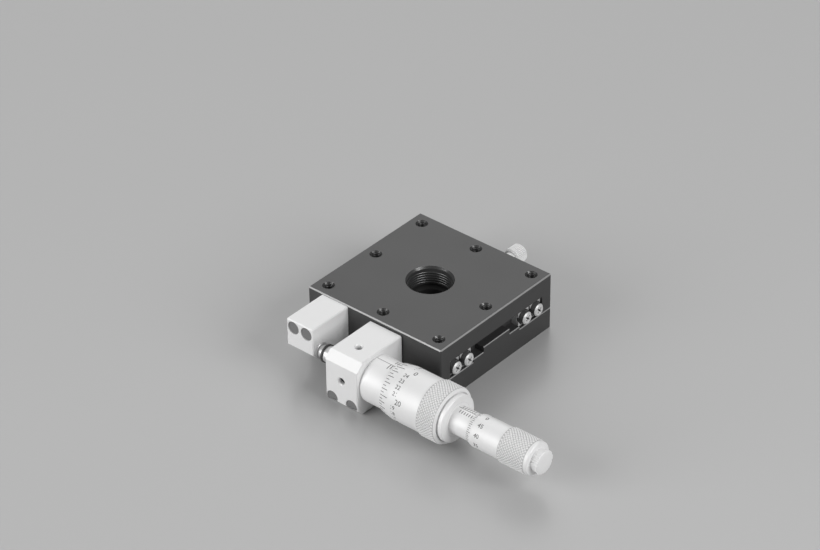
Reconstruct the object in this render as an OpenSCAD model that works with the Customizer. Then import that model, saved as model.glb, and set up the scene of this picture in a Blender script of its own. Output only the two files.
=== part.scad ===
// Crossed-roller linear stage with a differential micrometer, modelled piece by piece.
// X is the travel, +X towards the micrometer's fine knob. Z is up.
// The origin is the centre of the base's underside, with the table at mid travel.

/* [Stage body] */
// Length of the base and the table along the travel
stage_l = 60; // [58:1:90]
// Width of the base and the table
stage_w = 60; // [60:1:90]
// Thickness of the base at its side ledges
base_t = 8.6; // [8:0.1:9]
// Thickness of the table's top plate
plate_t = 7.2; // [6.8:0.1:7.6]
// Gap between the base's middle and the table's top plate
table_gap = 0.8; // [0.6:0.1:1.2]
// Thickness of the table's side skirts
skirt_t = 5; // [4.6:0.1:6]
// Gap between the skirts and the base
split_gap = 0.3; // [0.2:0.05:0.4]
// Chamfer on the outer edges of the base and the table
edge_c = 0.4; // [0.2:0.1:0.6]
// Whole travel of the table
travel = 13; // [8:0.5:13]

/* [Table holes] */
// Spacing of the tapped holes in the table
grid = 25; // [24:0.5:25.5]
// Tapping diameter of the table's holes
tap_d = 3.4; // [3:0.1:3.6]
// Mouth diameter of their countersinks
tap_mouth_d = 4.5; // [4.2:0.1:5]
// Depth of the tapped holes in the table
tap_deep = 6; // [4:0.5:6.2]
// Diameter of the centre aperture
aperture_d = 15.9; // [12:0.1:17]
// Mouth diameter of the aperture's countersink
aperture_mouth_d = 17.3; // [17.2:0.1:19]
// Depth of the tapped holes under the base
foot_tap_deep = 6.5; // [4:0.5:7]
// Diameter of the clear hole through the base
base_hole_d = 12; // [8:0.5:12.5]

/* [Rails] */
// Distance of the rails' ends from the ends of the stage
rail_inset = 1; // [1:0.5:3]
// Width of one rail
rail_w = 5.6; // [5.4:0.1:5.7]
// Height of a rail
rail_h = 6; // [5.8:0.1:6.2]
// Gap between the two rails of a way
rail_gap = 0.8; // [0.7:0.05:0.9]
// Height of the ledge that the inner rails stand on
ledge_h = 0.4; // [0.3:0.05:0.5]
// Diameter of the rollers
roller_d = 2.4; // [2.2:0.05:2.5]
// Length of the rollers
roller_l = 2.2; // [2:0.05:2.3]
// Spacing of the rollers
roller_pitch = 4; // [3.6:0.1:4.2]
// Rollers in one way
roller_n = 10; // [6:1:10]
// Thickness of the roller cages
cage_t = 0.4; // [0.3:0.05:0.5]
// Height of the roller cages
cage_h = 5; // [4.6:0.1:5.4]
// Distance of the last screw in a rail from the rail's end
rail_screw_inset = 6.5; // [6.3:0.1:8]

/* [Silver blocks] */
// Distance of the anvil block from the end of the table
anvil_block_inset = 6.3; // [5:0.1:6.6]
// Length of the anvil block along the travel
anvil_block_l = 12; // [11.6:0.1:13]
// How far the anvil block stands out from the table
anvil_block_w = 18.2; // [18:0.1:19.5]
// Height of the anvil block
anvil_block_h = 13.5; // [13.4:0.1:14]
// How far its top lies below the table's top
anvil_block_drop = 0.5; // [0.4:0.1:0.6]
// Bottom chamfer of the anvil block
anvil_block_c = 2.8; // [2:0.1:3]
// Length of the micrometer bracket along the travel
bracket_l = 14.3; // [13.8:0.1:15]
// How far the bracket stands out from the base
bracket_w = 23.5; // [23.3:0.1:25]
// Place of the bracket's centre along the travel
bracket_x = 5.75; // [5.5:0.05:7]
// How far the bracket's top lies below the table's top
bracket_drop = 1.4; // [1:0.1:1.6]
// Height of the bracket's underside above the floor
bracket_lift = 0.2; // [0.1:0.05:0.5]
// Top chamfer of the bracket
bracket_c = 3; // [2:0.1:3.2]
// Bottom chamfer of the bracket
bracket_foot_c = 2.7; // [2:0.1:2.9]
// Small chamfer on the edges of the silver blocks
block_edge_c = 0.35; // [0.2:0.05:0.4]
// Diameter of the counterbores in the blocks
block_bore_d = 5; // [4.8:0.1:5.2]
// Recess of the plugs in the counterbores
plug_recess = 0.4; // [0.3:0.05:0.6]

/* [Micrometer] */
// Distance of the micrometer's axis from the side of the stage
axis_out = 14.2; // [14:0.1:14.5]
// Height of the micrometer's axis above the floor
axis_z = 12.1; // [12:0.05:12.4]
// Diameter of the anvil's head
anvil_d = 6; // [5:0.1:6]
// Thickness of the anvil's head
anvil_head_t = 0.4; // [0.3:0.1:0.6]
// Diameter of the spindle
spindle_d = 6; // [5.6:0.1:6]
// Diameter of the spindle's tip
tip_d = 4.6; // [4:0.1:5]
// Length of the spindle's tip
tip_l = 2; // [1.6:0.1:2.2]
// Diameter of the dark ring behind the tip
tip_ring_d = 6.8; // [6.4:0.1:7]
// Thickness of that ring
tip_ring_t = 0.9; // [0.6:0.1:1]
// Diameter of the barrel's stem in the bracket
stem_d = 9.5; // [9:0.1:10]
// Diameter of the barrel
sleeve_d = 17.2; // [17:0.1:17.4]
// Diameter of the coarse thimble's edge
thimble_edge_d = 18.4; // [18:0.1:18.8]
// Diameter of the coarse thimble's body
thimble_d = 19.8; // [19.2:0.1:20.2]
// Diameter of the coarse thimble over its knurl
thimble_knurl_d = 21; // [20.6:0.1:21.4]
// Length of the coarse thimble's bevel
thimble_bevel_l = 4.3; // [4:0.1:4.8]
// Length of the coarse thimble's plain part
thimble_plain_l = 12.7; // [12.4:0.1:13.2]
// Length of the coarse thimble's knurl
thimble_knurl_l = 7.5; // [7:0.1:8.2]
// Diameter of the collar behind the coarse thimble
collar_d = 17.4; // [16:0.1:18]
// Thickness of the collar
collar_t = 1.9; // [1.6:0.1:2.4]
// Diameter of the fine sleeve
fine_sleeve_d = 10.1; // [9.9:0.1:10.3]
// Length of the fine sleeve that shows at mid range
fine_sleeve_show = 7.6; // [7:0.1:8]
// Diameter of the fine thimble's body
fine_thimble_d = 11.85; // [11.4:0.05:12.2]
// Diameter of the fine thimble over its knurl
fine_knurl_d = 13; // [12.6:0.1:13.4]
// Length of the fine thimble's bevel
fine_bevel_l = 2.3; // [2:0.1:2.8]
// Length of the fine thimble's plain part
fine_plain_l = 11.5; // [11:0.1:12]
// Length of the fine thimble's knurl
fine_knurl_l = 11.2; // [10.8:0.1:12]
// Diameter of the round button at the end
button_d = 8.6; // [8:0.1:9.6]
// Length of the button
button_l = 3.5; // [3:0.1:5]

/* [Table clamp] */
// Place of the clamp along the travel
clamp_x = 5.75; // [-6:0.25:6]
// Height of the clamp screw above the floor
clamp_z = 14.8; // [14.5:0.1:15]
// Diameter of the clamp knob over its knurl
knob_d = 6.9; // [6:0.1:8]
// Length of the knurled part of the clamp knob
knob_l = 5.6; // [5:0.1:8]
// Teeth round the clamp knob
knob_teeth = 32; // [24:1:36]
// Thickness of the lock plate
lock_t = 4.8; // [4.6:0.1:5.2]
// Length of the lock plate along the travel
lock_l = 16; // [15.5:0.5:20]
// Height of the lock plate's top above the floor
lock_top = 18.4; // [18.2:0.1:19]

/* [Hidden] */
$fn = 96;

// Overrun of a cut past the face that it starts from
over = 1;
// Length of a cut that runs past everything
past = 200;
// Points in a turn of a wire's coil, degrees between the points of its eyes, and its sides
turn_points = 8;
eye_step = 30;
wire_sides = 6;
// Points apart from which two stretches of a wire count as neighbours
apart = 5;
// Gap round a piece that is seated in another
seat = 0.02;
// Radial gap of a running fit
run = 0.05;
// Face gap between a stage side and the bracket or plate that passes it
pass_gap = 0.35;
stroke = travel / 2;

// Length of the rails and places of the ways
rail_l = stage_l - 2 * rail_inset;
rail_z = base_t + ledge_h;
rail_top = rail_z + rail_h;
plate_z = rail_top + table_gap;
stage_h = plate_z + plate_t;
skirt_y = stage_w / 2 - skirt_t;
outer_y = skirt_y - rail_w;
inner_y = outer_y - rail_gap;
boss_y = inner_y - rail_w;
way_y = (outer_y + inner_y) / 2;
way_z = rail_z + rail_h / 2;
channel_side = roller_d + 2 * seat;
// Width of the end steps of the base, as seen from the end, from their distance to the boss's sides
end_step_inset = 0.5;
end_tongue_inset = 6;
end_step_w = 2 * (boss_y - end_step_inset);
end_tongue_w = 2 * (boss_y - end_tongue_inset);
// Chamfer on the upper end edges of the base
end_edge_c = 0.25;
// Heights of the end steps above the base's ledges
end_step_h = 1.2;
end_tongue_h = 3.3;
// Length of the end steps
end_step_l = 4;
boss_l = stage_l - 2 * end_step_l;

// Rail screws, with their heads below the rollers
rail_screw_n = 4;
rail_screw_pitch = (rail_l - 2 * rail_screw_inset) / (rail_screw_n - 1);
rail_screw_d = 2;
rail_screw_clear_d = 2.4;
rail_head_d = 3.8;
rail_head_h = 2;
rail_cbore_d = 4.3;
rail_cbore_deep = 3.5;
rail_bite = 2.2;
rail_hex = 1.5;
rail_hex_deep = 1;
// Screws on the rails' ends, and the recesses that their heads sit in
end_recess_d = 5.8;
end_recess_deep = 0.8;
end_head_d = 4.8;
end_head_t = 2.9;
end_rim_c = 0.5;
end_screw_d = 2;
end_screw_l = 3.2;
end_cross_w = 0.55;
end_cross_l = 2.6;
end_cross_deep = 1;
// Grub screws that preload the back way
preload_d = 2.5;
preload_l = 4.4;
preload_hex = 1.3;
preload_hex_deep = 1.5;
preload_pitch = 15;

// Spring and stop between the base and the table
channel_inset = 4.6;
channel_y = boss_y - channel_inset;
channel_w = 3.9;
channel_floor = 1.2;
channel_z = rail_z + channel_floor;
spring_post_d = 2;
spring_base_x = 19;
spring_table_x = -15;
spring_lift = 2.4;
spring_z = channel_z + spring_lift;
spring_d = 3;
spring_wire_d = 0.4;
spring_turns = 20;
// Distance from a post's axis to the coil's first turn
spring_lead = 2.4;
// Angle left open in a post's eye
eye_open = 30;
post_bite = 3;
stop_pin_d = 3;
// Place of the stop pin along the travel, clear of the aperture
stop_x = 12;
stop_gap = 0.25;
stop_slot_w = 3.4;
stop_low = 0.6;

// Screws and plugs of the silver blocks
block_screw_d = 2.5;
block_clear_d = 2.8;
block_head_d = 4.5;
block_head_h = 2.5;
block_hex = 2;
block_hex_deep = 1.3;
block_bite = 5;
plug_t = 1.2;
anvil_screw_inset = 3.05;
anvil_screw_pitch = anvil_block_l - 2 * anvil_screw_inset;
anvil_screw_drop = 3;
anvil_screw_cbore = 10;
bracket_screw_inset = 2.8;
bracket_screw_pitch = bracket_l - 2 * bracket_screw_inset;
bracket_screw_z = 3.7;
bracket_screw_cbore = 14;
set_screw_d = 2.5;
set_screw_l = 3;
set_screw_hex = 1.3;
set_screw_hex_deep = 1.4;
set_mouth_c = 0.45;

// Places of the silver blocks
side_y = -stage_w / 2;
axis_y = side_y - axis_out;
anvil_block_lo = anvil_block_inset - stage_l / 2;
anvil_block_hi = anvil_block_lo + anvil_block_l;
contact_x = anvil_block_hi + anvil_head_t;
anvil_block_top = stage_h - anvil_block_drop;
anvil_block_low = anvil_block_top - anvil_block_h;
bracket_lo = bracket_x - bracket_l / 2;
bracket_hi = bracket_x + bracket_l / 2;
bracket_top = stage_h - bracket_drop;

// Anvil
anvil_edge_c = 0.2;
anvil_shank_d = 3;
anvil_shank_l = 6;

// Barrel and what it holds
sleeve_groove = 0.9;
sleeve_groove_d = 16.2;
barrel_wall = 2.8;
nut_wall = 1.1;
edge_margin = 3;
thimble_wall = 3.3;
end_margin = 0.9;
nut_l = 8;
coarse_screw_d = 11;
barrel_cavity_d = coarse_screw_d + 2 * nut_wall;
coarse_bore_d = 6.8;
spindle_tail_d = 6.7;
spindle_edge_c = 0.25;
tip_end = contact_x + tip_l;
key_d = 1.2;
key_bite = 0.7;
key_gap = 0.4;
tail_gap = 0.8;

// Stations of the coarse thimble at mid travel
sleeve_x = bracket_hi + sleeve_groove;
thimble_x = bracket_hi + stroke + edge_margin;
bevel_x = thimble_x + thimble_bevel_l;
knurl_x = bevel_x + thimble_plain_l;
knurl_end = knurl_x + thimble_knurl_l;
knurl_c = 0.45;
rim_c = 1.1;
rim_l = 0.4;
thimble_end = knurl_end + rim_l;
wall_x = thimble_end - thimble_wall;
sleeve_end = wall_x - stroke - end_margin;
cavity_x = sleeve_x + barrel_wall;
coarse_screw_x = cavity_x + stroke + end_margin;
collar_gap = 0.2;
collar_neck_d = 16.6;
collar_c = 0.3;
collar_x = thimble_end + collar_gap;
collar_end = collar_x + collar_t;

// Stations of the fine feed at mid range
fine_stroke = 2.5;
fine_x = collar_end + fine_sleeve_show;
fine_edge_d = 10.8;
fine_bevel_x = fine_x + fine_bevel_l;
fine_knurl_x = fine_bevel_x + fine_plain_l;
fine_knurl_end = fine_knurl_x + fine_knurl_l;
fine_knurl_c = 0.3;
fine_ring_d = 12.3;
fine_ring_l = 1.3;
fine_ring_c = 0.3;
fine_end = fine_knurl_end + fine_ring_l;
fine_wall = 7.2;
fine_wall_x = fine_end - fine_wall;
fine_spring_room = 7;
fine_sleeve_end = fine_wall_x - fine_spring_room;
washer_t = 0.8;
washer_d = 9.2;
fine_screw_d = 5;
fine_tip_d = 3;
fine_nut_l = 9;
fine_nut_x = fine_sleeve_end - fine_nut_l;
fine_seat_l = 4;
fine_tip_reach = 12;
fine_tip_clear = 0.1;
fine_tip_x = wall_x - fine_tip_reach;
tail_x = coarse_screw_x + tail_gap;
tail_end = wall_x - end_margin;
backlash_d = 7.8;
backlash_wire_d = 0.5;
backlash_turns = 5;
button_neck_d = 7.9;
button_lip = 0.9;
button_lip_c = 0.25;
button_shank_d = 2.5;
button_shank_l = 3;

// Clamp
lock_y = stage_w / 2;
lock_screw_inset = 3.2;
lock_screw_z = 4.3;
lock_screw_d = 2.5;
lock_head_d = 4.5;
lock_head_h = 2.3;
lock_cbore_d = 4.8;
lock_cbore_deep = 2.5;
lock_bite = 5;
lock_low = 0.5;
pad_d = 6;
pad_t = 1.5;
pad_gap = 0.25;
pad_back = 0.35;
clamp_screw_d = 4;
knob_gap = 2.7;
knob_y = lock_y + lock_t + knob_gap;
knob_neck_d = 4.8;
knob_neck_l = 1.9;
knob_c = 0.5;
knob_seat = 4;
tooth_deep = 0.25;

// A solid turned about an axis along X, from points of radius and place
module turned(points) rotate([90, 0, 90]) rotate_extrude() polygon(points);

module on_axis() translate([0, axis_y, axis_z]) children();

module rod_x(x0, x1, d) translate([x0, 0, 0]) rotate([0, 90, 0]) cylinder(h = x1 - x0, d = d);

// A rod along Y from y0 to y1
module rod_y(y0, y1, d) translate([0, y0, 0]) rotate([-90, 0, 0]) cylinder(h = y1 - y0, d = d);

module block(lo, hi) translate(lo) cube(hi - lo);

// Cuts a chamfer of size c on an edge along X through the point [0, y, z]
module cut_x(y, z, c, l) translate([0, y, z]) rotate([45, 0, 0])
    cube([l, c * sqrt(2), c * sqrt(2)], center = true);

module cut_y(x, z, c, l) translate([x, 0, z]) rotate([0, 45, 0])
    cube([c * sqrt(2), l, c * sqrt(2)], center = true);

module cut_z(x, y, c, l) translate([x, y, 0]) rotate([0, 0, 45])
    cube([c * sqrt(2), c * sqrt(2), l], center = true);

// Chamfers the four edges of a stage plate's outline at height z, and its four corners
module stage_edges(z) {
    for (s = [-1, 1]) {
        cut_x(s * stage_w / 2, z, edge_c, stage_l + 2 * over);
        cut_y(s * stage_l / 2, z, edge_c, stage_w + 2 * over);
        for (t = [-1, 1]) cut_z(s * stage_l / 2, t * stage_w / 2, edge_c, past);
    }
}

// A socket screw along +Z with its head's top at the origin
module cap_screw(shank_d, l, head_d, head_h, hex, hex_deep) {
    difference() {
        translate([0, 0, -head_h]) cylinder(h = head_h, d = head_d);
        translate([0, 0, -hex_deep]) cylinder(h = hex_deep + over, d = hex / cos(30), $fn = 6);
    }
    translate([0, 0, -head_h - l]) cylinder(h = l, d = shank_d);
}

// A grub screw along +Z with its outer end at the origin
module grub_screw(d, l, hex, hex_deep) difference() {
    translate([0, 0, -l]) cylinder(h = l, d = d);
    translate([0, 0, -hex_deep]) cylinder(h = hex_deep + over, d = hex / cos(30), $fn = 6);
}

// A pan-head screw with a cross recess, pointing along -X, with its head's seat at the origin
module pan_screw() {
    difference() {
        turned([[0, 0], [end_head_d / 2, 0], [end_head_d / 2, end_head_t - end_rim_c],
            [end_head_d / 2 - end_rim_c, end_head_t], [0, end_head_t]]);
        for (a = [45, 135]) translate([end_head_t, 0, 0]) rotate([a, 0, 0])
            cube([2 * end_cross_deep, end_cross_w, end_cross_l], center = true);
    }
    rod_x(-end_screw_l, 0, end_screw_d);
}

// The square channel that the rollers run in, turned onto its corner
module roller_channel(side) translate([0, side * way_y, way_z]) rotate([45, 0, 0])
    cube([stage_l + 2 * over, channel_side, channel_side], center = true);

// Places of n things in a row with this pitch, centred on 0
function row(n, pitch) = [for (k = [0 : n - 1]) (k - (n - 1) / 2) * pitch];

// One rail, on the front side (-1) or the back side (1)
module rail(side, outer) {
    near_y = outer ? outer_y : boss_y;
    land = outer ? outer_y : inner_y;
    dir = outer ? 1 : -1;
    difference() {
        translate([-rail_l / 2, side > 0 ? near_y : -near_y - rail_w, rail_z]) cube([rail_l, rail_w, rail_h]);
        roller_channel(side);
        for (x = row(rail_screw_n, rail_screw_pitch)) translate([x, side * land, way_z])
            rotate([-90 * side * dir, 0, 0]) {
                translate([0, 0, -over]) cylinder(h = rail_w + 2 * over, d = rail_screw_clear_d);
                translate([0, 0, -over]) cylinder(h = rail_cbore_deep + over, d = rail_cbore_d);
            }
        for (s = [-1, 1])
            translate([s * (rail_l / 2 - end_recess_deep), side * (near_y + rail_w / 2), way_z]) {
                rod_x(-end_screw_l - seat, end_screw_l + seat, end_screw_d + 2 * seat);
                rotate([0, 0, s > 0 ? 0 : 180]) rod_x(0, end_recess_deep + over, end_recess_d);
            }
    }
}

module rail_screws(outer) {
    land = outer ? outer_y : inner_y;
    dir = outer ? 1 : -1;
    head_y = land + dir * (rail_cbore_deep - rail_head_h);
    for (side = [-1, 1], x = row(rail_screw_n, rail_screw_pitch))
        translate([x, side * head_y, way_z]) rotate([90 * side * dir, 0, 0])
            cap_screw(rail_screw_d, rail_w - rail_cbore_deep + rail_bite, rail_head_d, rail_head_h, rail_hex,
                rail_hex_deep);
}

// Tapped holes for the rail screws, in the boss or the skirts
module rail_screw_holes(outer) {
    seat_y = outer ? skirt_y : boss_y;
    dir = outer ? 1 : -1;
    for (side = [-1, 1], x = row(rail_screw_n, rail_screw_pitch))
        translate([x, side * seat_y, way_z]) rotate([-90 * side * dir, 0, 0])
            translate([0, 0, -over]) cylinder(h = rail_bite + seat + over, d = rail_screw_d + 2 * seat);
}

module rail_end_screws(y) for (side = [-1, 1], s = [-1, 1])
    translate([s * (rail_l / 2 - end_recess_deep), side * (y + rail_w / 2), way_z])
        rotate([0, 0, s > 0 ? 0 : 180]) pan_screw();

module rollers(side) for (k = [0 : roller_n - 1])
    translate([row(roller_n, roller_pitch)[k], side * way_y, way_z]) rotate([k % 2 == 0 ? 45 : -45, 0, 0])
        cylinder(h = roller_l, d = roller_d, center = true);

module cage(side) {
    cage_l = roller_n * roller_pitch + roller_d;
    window_w = roller_d + 2 * run;
    window_h = (roller_d + cage_t) * sqrt(2) + 2 * run;
    difference() {
        translate([0, side * way_y, way_z]) cube([cage_l, cage_t, cage_h], center = true);
        for (x = row(roller_n, roller_pitch)) translate([x, side * way_y, way_z])
            cube([window_w, rail_gap, window_h], center = true);
    }
}

function unit(v) = v / norm(v);

// Points of a coil about X from x0 to x1
function coil_path(x0, x1, turns, coil_r) = let (n = turns * turn_points) [for (k = [0 : n])
    let (a = 360 * k / turn_points) [x0 + (x1 - x0) * k / n, coil_r * cos(a), coil_r * sin(a)]];

// Points of an eye round a vertical post at x, from one angle to another
function eye_path(x, eye_r, from, to) = [for (a = [from : -eye_step : to])
    [x + eye_r * cos(a), eye_r * sin(a), 0]];

// Directions along a path, and a sideways direction that turns with it as little as it can
function heads(p) = [for (k = [0 : len(p) - 1])
    unit((k > 0 ? unit(p[k] - p[k - 1]) : [0, 0, 0]) + (k < len(p) - 1 ? unit(p[k + 1] - p[k]) : [0, 0, 0]))];
function sides(t, first) = [for (k = 0, n = unit(first - (first * t[0]) * t[0]); k < len(t);
    n = unit(n - (n * t[min(k + 1, len(t) - 1)]) * t[min(k + 1, len(t) - 1)]), k = k + 1) n];

// Least gap between neighbouring stretches of a wire
function least_gap(p, wire_d) = min([for (i = [0 : len(p) - 1 - apart], j = [i + apart : len(p) - 1])
    norm(p[i] - p[j])]) - wire_d;

// A many-sided wire along a path
module wire(p, wire_d) {
    t = heads(p);
    n = sides(t, [0, 0, 1]);
    rings = [for (k = [0 : len(p) - 1], s = [0 : wire_sides - 1]) let (a = 360 * s / wire_sides)
        p[k] + wire_d / 2 * (cos(a) * n[k] + sin(a) * cross(t[k], n[k]))];
    walls = [for (k = [0 : len(p) - 2], s = [0 : wire_sides - 1])
        let (i = wire_sides * k, j = i + wire_sides, m = (s + 1) % wire_sides) each
        [[i + s, j + s, j + m], [i + s, j + m, i + m]]];
    end = wire_sides * (len(p) - 1);
    caps = [for (s = [1 : wire_sides - 2]) each [[0, s, s + 1], [end, end + s + 1, end + s]]];
    polyhedron(points = rings, faces = concat(walls, caps));
}

// Two cap screws' holes in a silver block, for screws that run along +Y
module block_holes(x, z, pitch, face_y, cbore) for (s = [-1, 1]) translate([x + s * pitch / 2, 0, z]) {
    rod_y(face_y - over, face_y + cbore, block_bore_d);
    rod_y(face_y, side_y + over, block_clear_d);
}

module block_screws(x, z, pitch, face_y, cbore) for (s = [-1, 1])
    translate([x + s * pitch / 2, face_y + cbore - block_head_h, z]) rotate([90, 0, 0])
        cap_screw(block_screw_d, side_y + block_bite - face_y - cbore, block_head_d, block_head_h, block_hex,
            block_hex_deep);

module block_plugs(x, z, pitch, face_y) for (s = [-1, 1]) translate([x + s * pitch / 2, 0, z])
    rod_y(face_y + plug_recess, face_y + plug_recess + plug_t, block_bore_d - 2 * seat);

// Holes in the stage's side for those screws
module side_taps(x, z, pitch) for (s = [-1, 1]) translate([x + s * pitch / 2, 0, z])
    rod_y(side_y - over, side_y + block_bite + seat, block_screw_d + 2 * seat);

// Chamfers both end edges of the base at height z, on both sides from y0 to y1
module end_edges(y0, y1, z) for (s = [-1, 1], t = [-1, 1])
    translate([0, t * (y0 + y1) / 2, 0]) cut_y(s * stage_l / 2, z, end_edge_c, y1 - y0);

module base_plate() color([0.14, 0.14, 0.15]) difference() {
    union() {
        block([-stage_l / 2, -stage_w / 2, 0], [stage_l / 2, stage_w / 2, base_t]);
        block([-rail_l / 2, -inner_y, base_t], [rail_l / 2, inner_y, rail_z]);
        block([-boss_l / 2, -boss_y, base_t], [boss_l / 2, boss_y, rail_top]);
        for (step = [[end_step_w, end_step_h], [end_tongue_w, end_tongue_h]])
            block([-stage_l / 2, -step[0] / 2, base_t], [stage_l / 2, step[0] / 2, base_t + step[1]]);
    }
    for (s = [-1, 1]) {
        cut_x(s * stage_w / 2, base_t, edge_c, stage_l + 2 * over);
        cut_x(s * stage_w / 2, 0, edge_c, stage_l + 2 * over);
        cut_y(s * stage_l / 2, 0, edge_c, stage_w + 2 * over);
        for (t = [-1, 1]) {
            cut_z(s * stage_l / 2, t * stage_w / 2, edge_c, past);
            translate([s * grid, t * grid, -over]) cylinder(h = foot_tap_deep + over, d = tap_d);
        }
    }
    end_edges(end_step_w / 2, stage_w / 2, base_t);
    end_edges(end_tongue_w / 2, end_step_w / 2, base_t + end_step_h);
    end_edges(0, end_tongue_w / 2, base_t + end_tongue_h);
    translate([0, 0, -over]) cylinder(h = rail_top + 2 * over, d = base_hole_d);
    rail_screw_holes(false);
    block([spring_table_x - stroke - spring_d, -channel_y - channel_w / 2, channel_z],
        [spring_base_x + spring_d, -channel_y + channel_w / 2, rail_top + over]);
    translate([spring_base_x, -channel_y, channel_z - post_bite])
        cylinder(h = post_bite + over, d = spring_post_d + 2 * seat);
    block([stop_x - stroke - stop_gap - stop_pin_d / 2, channel_y - stop_slot_w / 2, channel_z],
        [stop_x + stroke + stop_gap + stop_pin_d / 2, channel_y + stop_slot_w / 2, rail_top + over]);
    side_taps(bracket_x, bracket_screw_z, bracket_screw_pitch);
    for (s = [-1, 1]) translate([clamp_x + s * (lock_l / 2 - lock_screw_inset), 0, lock_screw_z])
        rod_y(lock_y - lock_bite - seat, lock_y + over, lock_screw_d + 2 * seat);
}

module inner_rail_front() color([0.75, 0.76, 0.77]) rail(-1, false);

module inner_rail_back() color([0.75, 0.76, 0.77]) rail(1, false);

module inner_rail_screws() color([0.2, 0.2, 0.21]) rail_screws(false);

module inner_rail_end_screws() color([0.8, 0.8, 0.81]) rail_end_screws(boss_y);

module base_spring_post() color([0.8, 0.8, 0.81])
    translate([spring_base_x, -channel_y, channel_z - post_bite])
        cylinder(h = spring_z + spring_d / 2 - channel_z + post_bite, d = spring_post_d);

spring_r = (spring_d - spring_wire_d) / 2;
spring_path = concat(
    eye_path(spring_table_x, spring_r, -eye_open, -270),
    coil_path(spring_table_x + spring_lead, spring_base_x - spring_lead, spring_turns, spring_r),
    eye_path(spring_base_x, spring_r, 90, eye_open - 180));
echo(return_spring_least_gap = least_gap(spring_path, spring_wire_d));

module return_spring() color([0.7, 0.7, 0.72]) translate([0, -channel_y, spring_z])
    wire(spring_path, spring_wire_d);

module table_plate() color([0.14, 0.14, 0.15]) difference() {
    union() {
        block([-stage_l / 2, -stage_w / 2, plate_z], [stage_l / 2, stage_w / 2, stage_h]);
        for (s = [-1, 1]) {
            block([-stage_l / 2, s > 0 ? skirt_y : -stage_w / 2, base_t + split_gap],
                [stage_l / 2, s > 0 ? stage_w / 2 : -skirt_y, stage_h - edge_c]);
            block([-rail_l / 2, s > 0 ? outer_y : -skirt_y - seat, rail_top],
                [rail_l / 2, s > 0 ? skirt_y + seat : -outer_y, stage_h - edge_c]);
        }
    }
    stage_edges(stage_h);
    for (s = [-1, 1]) cut_x(s * stage_w / 2, base_t + split_gap, edge_c, stage_l + 2 * over);
    for (i = [-1 : 1], j = [-1 : 1]) if (i != 0 || j != 0) translate([i * grid, j * grid, 0]) {
        translate([0, 0, stage_h - tap_deep]) cylinder(h = tap_deep + over, d = tap_d);
        tap_c = (tap_mouth_d - tap_d) / 2;
        translate([0, 0, stage_h - tap_c])
            cylinder(h = tap_c + over, d1 = tap_d, d2 = tap_mouth_d + 2 * over);
    }
    translate([0, 0, plate_z - over]) cylinder(h = plate_t + 2 * over, d = aperture_d);
    aperture_c = (aperture_mouth_d - aperture_d) / 2;
    translate([0, 0, stage_h - aperture_c])
        cylinder(h = aperture_c + over, d1 = aperture_d, d2 = aperture_mouth_d + 2 * over);
    rail_screw_holes(true);
    for (k = [-1 : 1]) translate([k * preload_pitch, 0, way_z])
        rod_y(skirt_y - over, stage_w / 2 + over, preload_d + 2 * seat);
    translate([spring_table_x, -channel_y, plate_z - over])
        cylinder(h = post_bite + seat + over, d = spring_post_d + 2 * seat);
    translate([stop_x, channel_y, plate_z - over])
        cylinder(h = post_bite + seat + over, d = stop_pin_d + 2 * seat);
    side_taps((anvil_block_lo + anvil_block_hi) / 2, anvil_block_top - anvil_screw_drop, anvil_screw_pitch);
}

module outer_rail_front() color([0.75, 0.76, 0.77]) rail(-1, true);

module outer_rail_back() color([0.75, 0.76, 0.77]) rail(1, true);

module outer_rail_screws() color([0.2, 0.2, 0.21]) rail_screws(true);

module outer_rail_end_screws() color([0.8, 0.8, 0.81]) rail_end_screws(outer_y);

module preload_screws() color([0.2, 0.2, 0.21]) for (k = [-1 : 1])
    translate([k * preload_pitch, skirt_y + preload_l, way_z]) rotate([-90, 0, 0])
        grub_screw(preload_d, preload_l, preload_hex, preload_hex_deep);

module table_spring_post() color([0.8, 0.8, 0.81])
    translate([spring_table_x, -channel_y, spring_z - spring_d / 2])
        cylinder(h = plate_z + post_bite - spring_z + spring_d / 2, d = spring_post_d);

module stop_pin() color([0.8, 0.8, 0.81]) translate([stop_x, channel_y, channel_z + stop_low])
    cylinder(h = plate_z + post_bite - channel_z - stop_low, d = stop_pin_d);

module cage_front() color([0.75, 0.62, 0.3]) cage(-1);

module cage_back() color([0.75, 0.62, 0.3]) cage(1);

module rollers_front() color([0.85, 0.85, 0.86]) rollers(-1);

module rollers_back() color([0.85, 0.85, 0.86]) rollers(1);

// Small chamfers on the edges of a silver block that spans lo to hi
module block_edges(lo, hi) {
    for (z = [lo[2], hi[2]]) cut_x(lo[1], z, block_edge_c, past);
    for (x = [lo[0], hi[0]]) {
        for (z = [lo[2], hi[2]]) cut_y(x, z, block_edge_c, past);
        cut_z(x, lo[1], block_edge_c, past);
    }
}

module anvil_block() color([0.88, 0.88, 0.88]) {
    lo = [anvil_block_lo, side_y - anvil_block_w, anvil_block_low];
    hi = [anvil_block_hi, side_y, anvil_block_top];
    difference() {
        block(lo, hi);
        block_edges(lo, hi);
        translate([(lo[0] + hi[0]) / 2, 0, 0]) cut_x(lo[1], lo[2], anvil_block_c, anvil_block_l + 2 * over);
        block_holes((lo[0] + hi[0]) / 2, hi[2] - anvil_screw_drop, anvil_screw_pitch, lo[1],
            anvil_screw_cbore);
        on_axis() rod_x(hi[0] - anvil_shank_l - seat, hi[0] + over, anvil_shank_d + 2 * seat);
    }
}

module anvil_block_screws() color([0.2, 0.2, 0.21])
    block_screws((anvil_block_lo + anvil_block_hi) / 2, anvil_block_top - anvil_screw_drop, anvil_screw_pitch,
        side_y - anvil_block_w, anvil_screw_cbore);

module anvil_block_plugs() color([0.4, 0.4, 0.41])
    block_plugs((anvil_block_lo + anvil_block_hi) / 2, anvil_block_top - anvil_screw_drop, anvil_screw_pitch,
        side_y - anvil_block_w);

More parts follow.
